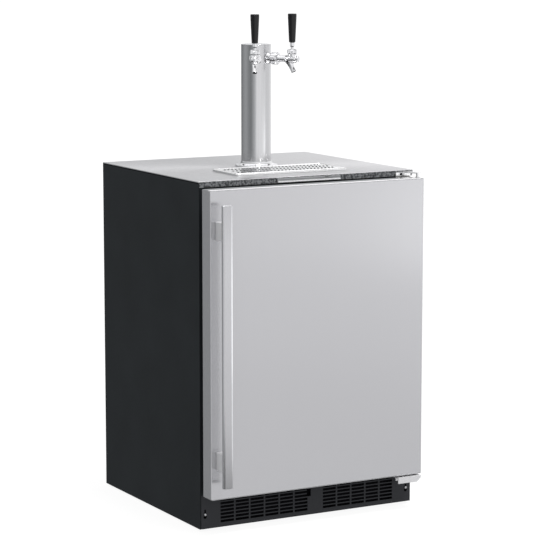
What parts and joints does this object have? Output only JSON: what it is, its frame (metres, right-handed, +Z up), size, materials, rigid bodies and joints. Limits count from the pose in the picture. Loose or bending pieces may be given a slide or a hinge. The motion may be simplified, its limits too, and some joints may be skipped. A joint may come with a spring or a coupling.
{
  "type": "kegerator",
  "caption": "Refrigerated keg cabinet with a hinged steel door, bar handle, drip tray and a draft tower whose faucets open with black tap handles.",
  "frame": {"origin": "centre of the resting footprint's bounding box, on the floor under the levelling feet", "axes": "+Z up, -Y towards the user (the door's face), +X to the user's right (the hinge side)"},
  "size_m": [0.606, 0.649, 1.2537],
  "materials": {
    "black": "satin",
    "trim": "satin",
    "steel": "satin",
    "door": "satin",
    "handle": "satin",
    "chrome": "polished",
    "bright": "satin",
    "zinc": "satin",
    "galvanised": "matte",
    "fins": "matte",
    "bezel": "satin",
    "liner": "satin",
    "foam": "matte",
    "rubber": "matte",
    "hose": "satin",
    "gloss_black": "gloss"
  },
  "bodies": {
    "cabinet": {"foam_insulation": "foam", "inner_liner": "liner", "front_frame": "black", "side_panel_left": "black", "side_panel_right": "black", "back_panel": "black", "base_pan": "galvanised", "worktop": "steel", "kick_grille": "trim", "grille_screw_left": "zinc", "grille_screw_right": "zinc", "front_trim": "trim", "control_bezel": "bezel", "top_hinge_bracket": "bright", "top_hinge_screw": "black", "bottom_hinge_bracket": "bright", "compressor": "black", "condenser_coil": "fins", "condenser_fan_bracket": "galvanised", "power_inlet": "black", "evaporator_cover": "liner", "drip_tray": "steel", "tower_flange": "chrome", "tower_column": "steel", "tower_insulation": "foam", "tower_cap": "chrome", "shank_left": "chrome", "beer_line_left": "hose", "coupling_nut_left": "chrome", "faucet_body_left": "chrome", "bonnet_left": "chrome", "shank_right": "chrome", "beer_line_right": "hose", "coupling_nut_right": "chrome", "faucet_body_right": "chrome", "bonnet_right": "chrome"},
    "door": {"door_skin": "door", "door_foam": "foam", "door_inner_panel": "liner", "door_gasket": "rubber", "hinge_bush_top": "zinc", "hinge_bush_bottom": "zinc", "handle_bar": "handle", "handle_bracket_top": "handle", "handle_bracket_bottom": "handle"},
    "lever_left": {"lever_left": "chrome", "tap_handle_left": "gloss_black"},
    "valve_shaft_left": {"valve_shaft_left": "zinc"},
    "lever_right": {"lever_right": "chrome", "tap_handle_right": "gloss_black"},
    "valve_shaft_right": {"valve_shaft_right": "zinc"},
    "drip_grille": {"drip_grille": "steel"},
    "condenser_fan": {"condenser_fan": "trim"},
    "evaporator_fan": {"evaporator_fan": "trim"},
    "foot_front_left": {"foot_front_left": "rubber"},
    "foot_front_right": {"foot_front_right": "rubber"},
    "foot_rear_left": {"foot_rear_left": "rubber"},
    "foot_rear_right": {"foot_rear_right": "rubber"},
    "temperature_key_down": {"temperature_key_down": "bezel"},
    "temperature_key_up": {"temperature_key_up": "bezel"}
  },
  "joints": [
    {"name": "door_hinge", "type": "hinge", "parent": "cabinet", "child": "door", "pos_m": [0.293, -0.2645, 0.091], "axis": [0, 0, 1], "range_deg": [0, 110]},
    {"name": "lever_left_pivot", "type": "hinge", "parent": "cabinet", "child": "lever_left", "pos_m": [-0.0535, -0.04917, 1.154], "axis": [0.866, -0.5, 0], "range_deg": [0, 30]},
    {"name": "valve_shaft_left_slide", "type": "slide", "parent": "cabinet", "child": "valve_shaft_left", "axis": [-0.5, -0.866, 0], "range_m": [-0.0065, 0]},
    {"name": "lever_right_pivot", "type": "hinge", "parent": "cabinet", "child": "lever_right", "pos_m": [0.0535, -0.04917, 1.154], "axis": [0.866, 0.5, 0], "range_deg": [0, 30]},
    {"name": "valve_shaft_right_slide", "type": "slide", "parent": "cabinet", "child": "valve_shaft_right", "axis": [0.5, -0.866, 0], "range_m": [-0.0065, 0]},
    {"name": "drip_grille_lift", "type": "slide", "parent": "cabinet", "child": "drip_grille", "axis": [0, 0, 1], "range_m": [0, 0.03]},
    {"name": "condenser_fan_spin", "type": "hinge", "parent": "cabinet", "child": "condenser_fan", "pos_m": [0.12, 0.1965, 0.114], "axis": [0, 1, 0], "continuous": true},
    {"name": "evaporator_fan_spin", "type": "hinge", "parent": "cabinet", "child": "evaporator_fan", "pos_m": [0, 0.2175, 0.661], "axis": [0, 1, 0], "continuous": true},
    {"name": "foot_front_left_level", "type": "slide", "parent": "cabinet", "child": "foot_front_left", "axis": [0, 0, -1], "range_m": [0, 0.015]},
    {"name": "foot_front_right_level", "type": "slide", "parent": "cabinet", "child": "foot_front_right", "axis": [0, 0, -1], "range_m": [0, 0.015]},
    {"name": "foot_rear_left_level", "type": "slide", "parent": "cabinet", "child": "foot_rear_left", "axis": [0, 0, -1], "range_m": [0, 0.015]},
    {"name": "foot_rear_right_level", "type": "slide", "parent": "cabinet", "child": "foot_rear_right", "axis": [0, 0, -1], "range_m": [0, 0.015]},
    {"name": "temperature_key_down_press", "type": "slide", "parent": "cabinet", "child": "temperature_key_down", "axis": [0, 1, 0], "range_m": [0, 0.0006], "stiffness_N_per_m": 500, "springref_m": -0.0006},
    {"name": "temperature_key_up_press", "type": "slide", "parent": "cabinet", "child": "temperature_key_up", "axis": [0, 1, 0], "range_m": [0, 0.0006], "stiffness_N_per_m": 500, "springref_m": -0.0006}
  ],
  "couplings": [
    {"joint": "valve_shaft_left_slide", "follows": "lever_left_pivot", "m_per_rad": -0.012},
    {"joint": "valve_shaft_right_slide", "follows": "lever_right_pivot", "m_per_rad": -0.012}
  ]
}
